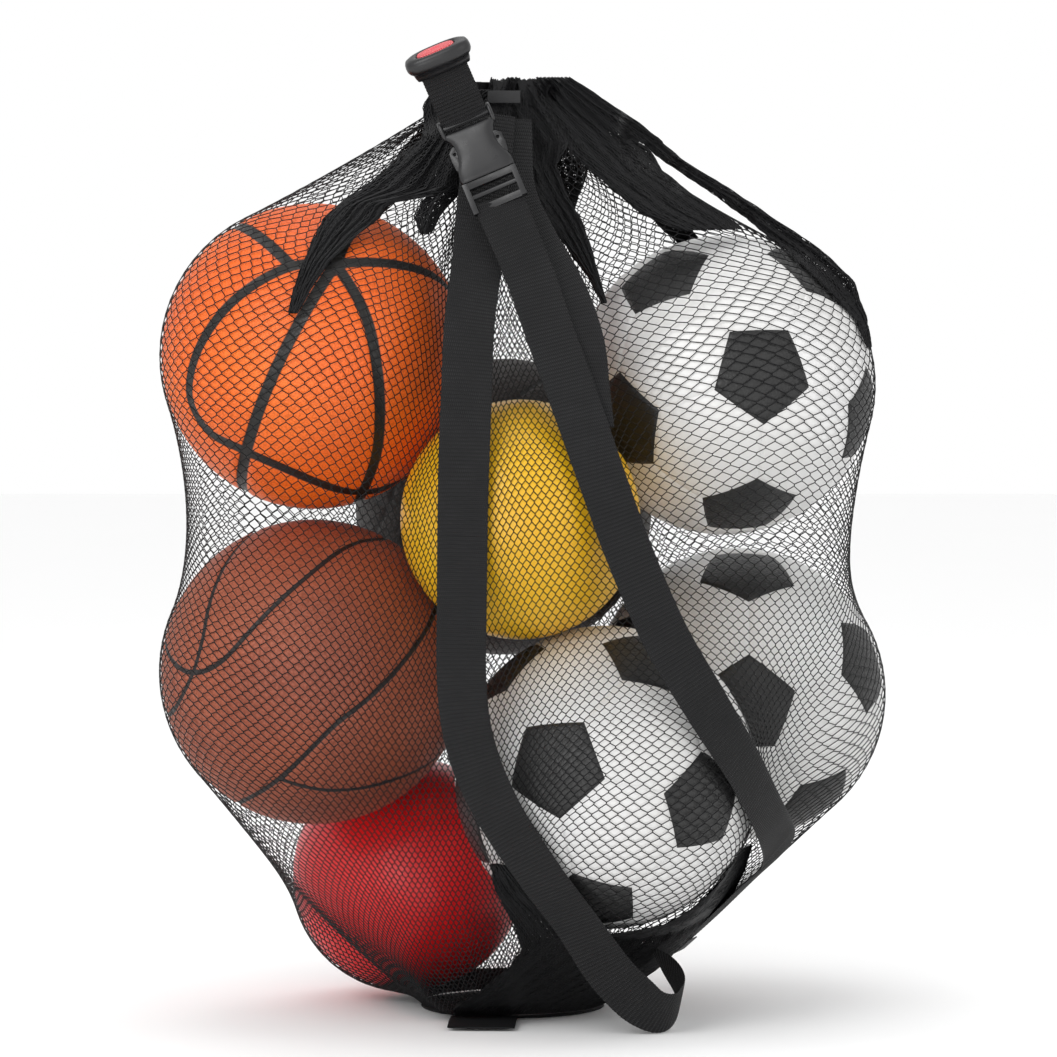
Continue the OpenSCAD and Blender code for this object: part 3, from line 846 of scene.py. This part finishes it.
def threads(name, a, b):
    """A three sided thread from each point of a to the same point of b."""
    d = unit(b - a)
    n = unit(np.cross(d, unit((a + b) / 2 - BAG_MIDDLE)))
    m = np.cross(d, n)
    a, b = a - d * THREAD * 0.5, b + d * THREAD * 0.5
    ring = [n * math.cos(t) * THREAD + m * math.sin(t) * THREAD for t in (0.3, 0.3 + 2.0944, 0.3 + 4.1888)]
    pts = np.stack([a + r for r in ring] + [b + r for r in ring], 1)
    base = np.arange(len(a))[:, None] * 6
    faces = np.concatenate([base + np.array([[k, (k + 1) % 3, (k + 1) % 3 + 3, k + 3]]) for k in range(3)])
    return build(name, pts.reshape(-1, 3) * MM, faces, net_mat)


# ---------------------------------------------------------------- base, hem
PATCH_TOP, PATCH_LOW = 2.2, 0.1  # mm
SKIRT_POINTS, SKIRT_TOP = 480, 0.035  # points round, and the share of the tube that is solid cloth


def base_pieces(grid):
    """The round base patch, and the solid skirt that the gathered foot of the net is sewn into."""
    rings, segs = 26, 144
    th = 2 * np.pi * np.arange(segs) / segs
    r = np.linspace(2, BASE_R, rings)[:, None]
    top = np.stack([BASE[0] + r * np.cos(th), BASE[1] + r * np.sin(th),
                    PATCH_TOP + 0.25 * np.sin(5 * th)[None] * (r / BASE_R)], -1)
    low = top[::-1].copy()
    low[..., 2] = PATCH_LOW
    pts = np.concatenate([low[-1:], top, low], 0)
    obj = build("base_patch_cloth", pts.reshape(-1, 3) * MM, grid_faces(len(pts), segs, True), cloth_mat)
    finish_piece(obj, "bag", "base_cloth", "base_patch", "base_binding")
    u = np.arange(SKIRT_POINTS) / SKIRT_POINTS
    pts = np.array([sample(grid, u, np.full(SKIRT_POINTS, v)) for v in np.linspace(0.0, SKIRT_TOP, 8)])
    skirt = build("base_skirt", pts.reshape(-1, 3) * MM, grid_faces(*pts.shape[:2], True), cloth_mat)
    finish_piece(skirt, "bag", "base_cloth")


def hem_pieces():
    """The drawn hem: a double cloth ruffle in deep pleats round the small mouth."""
    segs, rows = 900, 22
    th = 2 * np.pi * np.arange(segs) / segs
    s = np.linspace(0, 1, rows)
    fold = np.sin(23 * th + 0.6 * np.sin(3 * th)) * 0.7 + np.sin(41 * th + 1.3) * 0.3
    pts = []
    for side in (1, -1):
        for t in (s if side > 0 else s[::-1]):
            flare = 26 + 11 * (1 - t) ** 2 + 5 * t**3
            r = flare + (4.5 + 3 * t) * fold + side * 0.7 - (6 * t if side < 0 else 0)
            z = NECK_Z - 2 + 15.5 * t + 1.6 * np.sin(9 * th + 0.7) * t + 0.9 * np.sin(17 * th) * t
            pts.append(np.stack([NECK[0] + r * np.cos(th), NECK[1] + r * np.sin(th), z], -1))
    pts = np.array(pts)
    hem = build("hem_ruffle", pts.reshape(-1, 3) * MM, grid_faces(len(pts), segs, True), cloth_mat)
    finish_piece(hem, "bag", "base_cloth", "hem_casing")


def make_tab():
    """The fold of cloth that lies in front of the base, on a route as the straps are."""
    route = [(-33, -60, 1.9, 0, 88), (-33, -80, 3.6, 0, 86), (-34, -100, 3.9, 0, 90),
             (-35, -122, 2.2, 0, 90)]
    tab = webbing("base_tab_fold", route, width=50)
    tab.data.materials.clear()
    tab.data.materials.append(cloth_mat)
    finish_piece(tab, "bag", "base_cloth", "base_tab")


# ---------------------------------------------------------------- buckle
BUCKLE = (Matrix.Translation((-0.020, -0.115, 0.607)) @ Matrix.Rotation(math.radians(-23), 4, "Y")
          @ Matrix.Rotation(math.radians(-15), 4, "X"))
BAR_Z, TAIL_TIP = 69.0, 38  # mm up the buckle to its bar, and degrees that the tail tips forward
TAIL = (BUCKLE @ Matrix.Translation((0, 0, BAR_Z * MM)) @ Matrix.Rotation(math.radians(TAIL_TIP), 4, "X")
        @ Matrix.Translation((0, 0, -BAR_Z * MM)))


def refined(name, node, body, slot, mat, bevel=0.0006):
    """The CAD node's shape with its flat faces joined up and its edges rounded."""
    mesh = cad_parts[node].data.copy()
    mesh.name = name
    obj = bpy.data.objects.new(name, mesh)
    COLLECTION.objects.link(obj)
    bm = bmesh.new()
    bm.from_mesh(mesh)
    bmesh.ops.remove_doubles(bm, verts=bm.verts, dist=1e-6)
    bmesh.ops.dissolve_limit(bm, angle_limit=math.radians(1), verts=bm.verts, edges=bm.edges)
    bm.to_mesh(mesh)
    bm.free()
    mesh.materials.clear()
    mesh.materials.append(mat)
    mod = obj.modifiers.new("round", "BEVEL")
    mod.width, mod.segments, mod.limit_method, mod.angle_limit = bevel, 3, "ANGLE", math.radians(35)
    mesh.polygons.foreach_set("use_smooth", np.full(len(mesh.polygons), True))
    return finish_piece(obj, body, slot, node)


def oval_loft(name, rings, mat, body, slot, node, segs=96, place=TAIL, power=2.6, shift=0.0):
    """Rings of (half length, half depth, z) about x = shift in the frame of place, closed at both ends."""
    th = 2 * np.pi * np.arange(segs) / segs
    k = 2 / power
    pts = []
    for a, b, z in rings:
        x = shift + a * np.sign(np.cos(th)) * np.abs(np.cos(th)) ** k
        y = b * np.sign(np.sin(th)) * np.abs(np.sin(th)) ** k
        pts.append(np.stack([x, y, np.full(segs, z)], -1))
    pts = np.array(pts).reshape(-1, 3)
    m = np.array(place)
    world = pts * MM @ m[:3, :3].T + m[:3, 3]
    obj = build(name, world, grid_faces(len(rings), segs, True), mat, uv=pts[:, :2] * MM)
    cap_ends(obj, len(rings), segs)
    return finish_piece(obj, body, slot, *([node] if node else []))


# the female shell: full at its mouth, waisted where the prongs show, wide at the ears
SHELL = [(11.0, 2.2, 54), (13.6, 2.8, 48), (14.2, 2.9, 40), (18.6, 3.0, 33), (19.0, 3.0, 24.6),
         (19.9, 3.6, 24.3), (20.6, 4.3, 24.9), (20.9, 4.7, 27), (20.7, 5.0, 31), (19.6, 5.1, 35),
         (17.4, 5.2, 39), (15.8, 5.2, 44), (15.2, 5.1, 49), (15.6, 4.9, 53.5), (17.2, 4.7, 57.5),
         (19.4, 4.4, 60.5), (20.6, 4.1, 62.4), (20.4, 3.6, 63.4), (19.4, 2.8, 64)]
EAR = [(0.9, 2.6, 60), (1.5, 4.0, 62), (1.7, 4.3, 66), (1.7, 4.3, 70), (1.6, 3.8, 73), (1.2, 2.7, 74.8),
       (0.6, 1.2, 75.3)]
EAR_X = 19.3
TAIL_HEIGHTS = (67, 71, 80, 96, 112, 122)
CAP_Z = 119.0  # mm up the buckle to the end cap's mouth; its rings are measured from there
CAP = [(20.5, 4.2, -7), (21.5, 5.2, -4), (22, 6.5, -1), (24, 9.4, 1), (25, 10.7, 3.2), (25.2, 11, 5.5),
       (24.9, 10.7, 8), (23.8, 9.8, 10.3), (21, 8.3, 11.6), (18, 7.2, 12), (15.9, 6.4, 11.7),
       (15.1, 6.0, 10.9), (14.9, 5.9, 10.2)]
PAD = [(14.4, 5.6, 9.6), (14.4, 5.6, 11.2), (13.7, 5.1, 12.1), (10, 3.4, 12.5), (4, 1.5, 12.6)]


def make_buckle():
    refined("buckle_lower", "buckle_male", "bag", "buckle_plastic", plastic_mat)
    for side in ("left", "right"):
        refined(f"prong_{side}_arm", f"buckle_prong_{side}", f"prong_{side}", "buckle_plastic", plastic_mat,
                0.0004)
    place = {"mat": plastic_mat, "body": "buckle", "slot": "buckle_plastic", "place": BUCKLE}
    oval_loft("buckle_upper", SHELL, node="buckle_female", power=4.2, **place)
    for s, name in ((-1, "left"), (1, "right")):
        oval_loft(f"buckle_ear_{name}", EAR, node=None, power=3.0, shift=EAR_X * s, segs=48, **place)
    refined("buckle_cross_bar", "buckle_bar", "buckle", "buckle_plastic", plastic_mat, 0.0002)
    make_tail()


def make_tail():
    """Two layers of webbing folded over the bar, and the end cap with its red pad."""
    m = np.array(TAIL)
    y, z, o = m[:3, 1], m[:3, 2], m[:3, 3] / MM
    face = -y
    az = math.degrees(math.atan2(face[0], -face[1]))
    el = math.degrees(math.asin(face[2]))
    for k, off in enumerate((-1.0, 1.0)):
        gaps = [1.9 if t == TAIL_HEIGHTS[0] else 0.85 for t in TAIL_HEIGHTS]
        route = [tuple(o + y * off * gap + z * t) + (az, el) for t, gap in zip(TAIL_HEIGHTS, gaps)]
        piece = webbing(f"tail_layer_{k}", route, width=34.5 if k else 35.5, rib=2.6)
        finish_piece(piece, "tail", "webbing", "webbing_tail")
    rim, pad = ([(a, b, CAP_Z + h) for a, b, h in rings] for rings in (CAP, PAD))
    oval_loft("end_cap_moulding", rim, plastic_mat, "tail", "buckle_plastic", "end_cap")
    oval_loft("cap_red_pad", pad, insert_mat, "tail", "insert_rubber", "cap_insert")


# ---------------------------------------------------------------- put it together
net_mat, webbing_mat, cloth_mat = net_material(), webbing_material(), cloth_material()
plastic_mat, insert_mat, thread_mat = plastic_material(), insert_material(), thread_material()
kick_white_mat, kick_black_mat = kick_white(), kick_black()
make_camera()
make_studio()

orange = pebbled("orange_cover", (0.86, 0.115, 0.004), (0.98, 0.18, 0.01), (0.008, 0.007, 0.006),
                 0.0016, 0.0004, 0.42, ORANGE_CHANNEL)
brown = pebbled("brown_cover", (0.24, 0.05, 0.022), (0.42, 0.105, 0.045), (0.012, 0.008, 0.007),
                0.0022, 0.0007, 0.5, BROWN_CHANNEL)
# the hidden back ball is near black: its cover is partly a dark ball's own colour and partly painted shade
# for the gaps behind the front balls
dark = pebbled("near_black_cover_and_painted_shade", (0.008, 0.006, 0.005), (0.02, 0.013, 0.01), (0.003, 0.003, 0.003),
               0.0022, 0.0006, 0.55, BROWN_CHANNEL)
ball_with_channels("orange_basketball", "orange_ball", "ball_orange", orange, "orange_rubber",
                   ORANGE_CHANNELS, ORANGE_CHANNEL)
ball_with_channels("brown_basketball", "brown_ball", "ball_brown", brown, "brown_leather",
                   BROWN_CHANNELS, BROWN_CHANNEL)
ball_with_channels("back_basketball", "hidden_ball", "ball_hidden", dark, "dark_leather",
                   BROWN_CHANNELS, BROWN_CHANNEL)
red = rubber_ball("red_rubber_skin", (0.80, 0.006, 0.008), (0.97, 0.016, 0.02), 0.36, 0.0016, 0.0004, 0.25)
yellow = rubber_ball("yellow_rubber_skin", (0.86, 0.46, 0.008), (0.93, 0.56, 0.014), 0.4, 0.0012,
                     0.00015, 0.1)
plain_ball("red_playground_ball", "red_ball", "ball_red", red, "red_rubber")
plain_ball("yellow_playground_ball", "yellow_ball", "ball_yellow", yellow, "yellow_rubber")
panel_ball("kick_ball_upper", "upper_kick_ball", "soccer_upper", (88, 66, 102))
panel_ball("kick_ball_right", "right_kick_ball", "soccer_right", (77, 9, 123))
panel_ball("kick_ball_front", "front_kick_ball", "soccer_front", (-100, -75, 20))
make_straps()
net_grid = make_net()
make_gathers(net_grid)
base_pieces(net_grid)
hem_pieces()
make_tab()
make_buckle()
for tack in ("bartack_left", "bartack_right"):
    refined(tack + "_stitch", tack, "bag", "thread", thread_mat, 0.0002)
